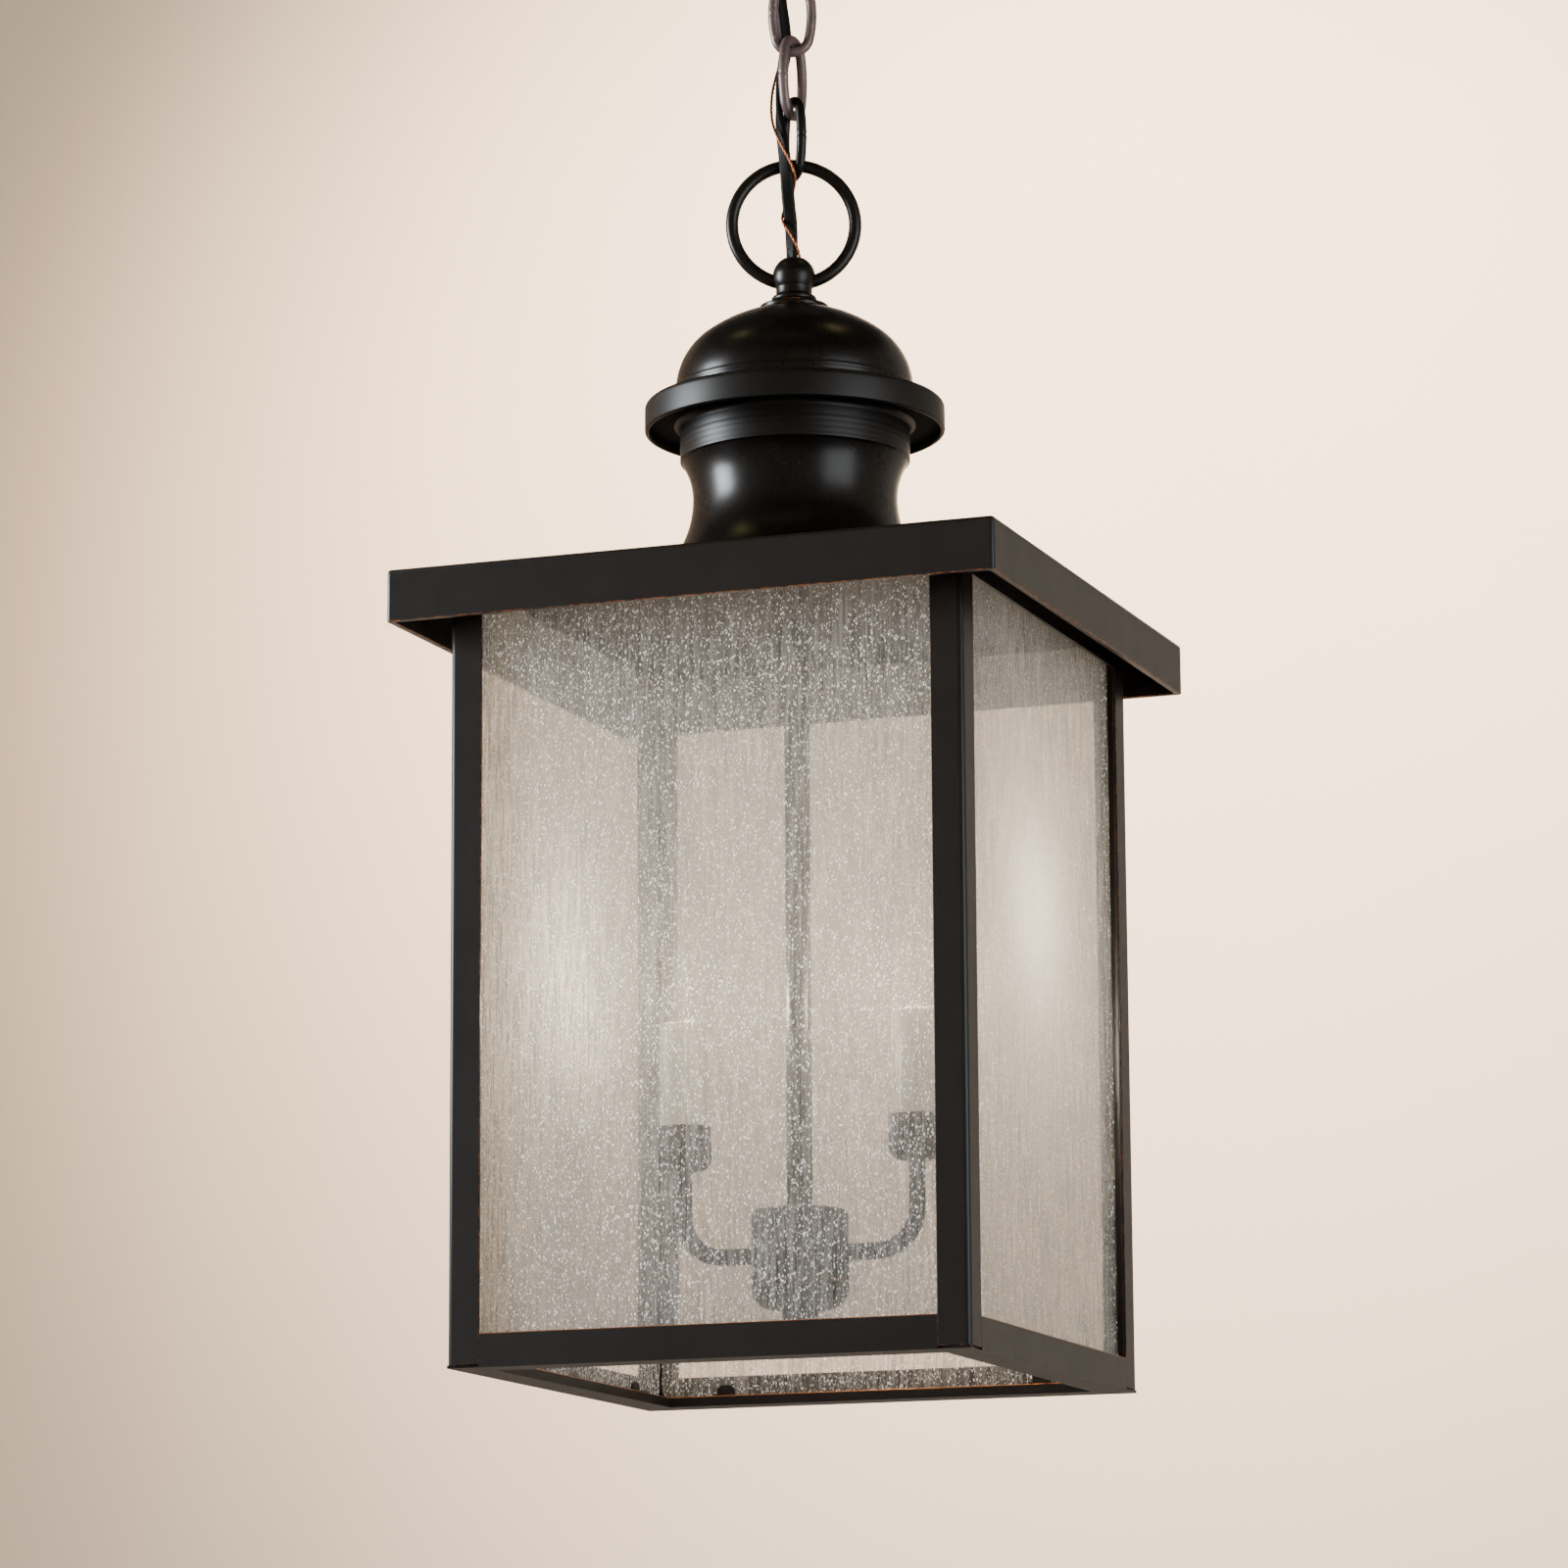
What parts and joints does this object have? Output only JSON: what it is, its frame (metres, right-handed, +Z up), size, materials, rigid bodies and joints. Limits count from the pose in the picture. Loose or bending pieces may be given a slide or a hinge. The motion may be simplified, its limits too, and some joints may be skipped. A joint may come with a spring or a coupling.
{
  "type": "hanging lantern",
  "caption": "Outdoor hanging lantern: square glazed frame under a flat skirted roof, with a spun domed crown, ring and short chain to a ceiling canopy, and a candle cluster inside.",
  "frame": {"origin": "centre of the canopy's ceiling face", "axes": "+Z up out of the ceiling face, -Y toward the front pane, +X toward the right pane"},
  "size_m": [0.241, 0.241, 0.6159],
  "materials": {
    "bronze_spun": "oil-rubbed bronze, satin, warm rub-through on edges",
    "bronze_sheet": "oil-rubbed bronze, satin, warm rub-through on folds",
    "bronze_loop": "oil-rubbed bronze, semi-gloss",
    "bronze_chain": "brown bronze, rubbed on the bends",
    "plated_steel": "zinc plated",
    "bronze_cluster": "oil-rubbed bronze",
    "seeded_glass": "clear seeded glass, slightly wavy",
    "candle_ivory": "ivory, satin",
    "socket_plastic": "moulded black",
    "base_brass": "plain brass shell",
    "bulb_glass": "clear to softly frosted",
    "cable_sheath": "black flexible sheath",
    "ground_copper": "bare stranded copper"
  },
  "bodies": {
    "ceiling_mount": {"ceiling_canopy": "bronze_spun", "crossbar": "plated_steel", "canopy_nipple": "plated_steel", "nipple_locknut": "plated_steel", "canopy_lock_ring": "bronze_loop", "ceiling_ball": "bronze_loop", "ceiling_ring": "bronze_loop", "cable_canopy": "cable_sheath", "ground_canopy": "ground_copper"},
    "upper_link": {"upper_link": "bronze_chain", "cable_upper": "cable_sheath", "ground_upper": "ground_copper"},
    "middle_link": {"middle_link": "bronze_chain", "cable_lower": "cable_sheath", "ground_lower": "ground_copper"},
    "lower_link": {"lower_link": "bronze_chain"},
    "lantern": {"dome_washer": "bronze_spun", "dome": "bronze_spun", "brim": "bronze_spun", "brim_plate": "bronze_spun", "neck": "bronze_spun", "roof_pan": "bronze_sheet", "post_back_right": "bronze_sheet", "post_back_left": "bronze_sheet", "post_front_left": "bronze_sheet", "post_front_right": "bronze_sheet", "bottom_rail_front": "bronze_sheet", "bottom_rail_right": "bronze_sheet", "bottom_rail_back": "bronze_sheet", "bottom_rail_left": "bronze_sheet", "top_rails": "bronze_sheet", "hanging_ring": "bronze_loop", "loop_ball": "bronze_loop", "loop_lock_ring": "bronze_loop", "crown_nipple": "plated_steel", "roof_nut": "plated_steel", "stem_coupling": "plated_steel", "glass_tabs": "plated_steel", "stem": "bronze_cluster", "hub": "bronze_cluster", "hub_cover": "bronze_cluster", "hub_finial": "bronze_cluster", "arm_right": "bronze_cluster", "arm_left": "bronze_cluster", "cup_right": "bronze_cluster", "cup_left": "bronze_cluster", "glass_front": "seeded_glass", "glass_right": "seeded_glass", "glass_back": "seeded_glass", "glass_left": "seeded_glass", "candle_sleeves": "candle_ivory", "lamp_sockets": "socket_plastic", "bulb_bases": "base_brass", "bulb_right": "bulb_glass", "bulb_left": "bulb_glass", "cable_lantern": "cable_sheath", "ground_lantern": "ground_copper"}
  },
  "joints": [
    {"name": "upper_link_swing", "type": "hinge", "parent": "ceiling_mount", "child": "upper_link", "pos_m": [0, 0, -0.0629], "axis": [-0.342, 0.9397, 0], "range_deg": [-20, 20], "deforming": ["cable_canopy", "ground_canopy"]},
    {"name": "middle_link_swing", "type": "hinge", "parent": "upper_link", "child": "middle_link", "pos_m": [0, 0, -0.08935], "axis": [0.9397, 0.342, 0], "range_deg": [-16, 16], "deforming": ["cable_upper", "ground_upper"]},
    {"name": "lower_link_swing", "type": "hinge", "parent": "middle_link", "child": "lower_link", "pos_m": [0, 0, -0.11555], "axis": [0.1564, 0.9877, 0], "range_deg": [-12, 12], "deforming": ["cable_lower", "ground_lower"]},
    {"name": "lantern_swing", "type": "hinge", "parent": "lower_link", "child": "lantern", "pos_m": [0, 0, -0.14095], "axis": [-0.7193, 0.6947, 0], "range_deg": [-20, 20], "deforming": ["cable_lantern", "ground_lantern"]}
  ]
}
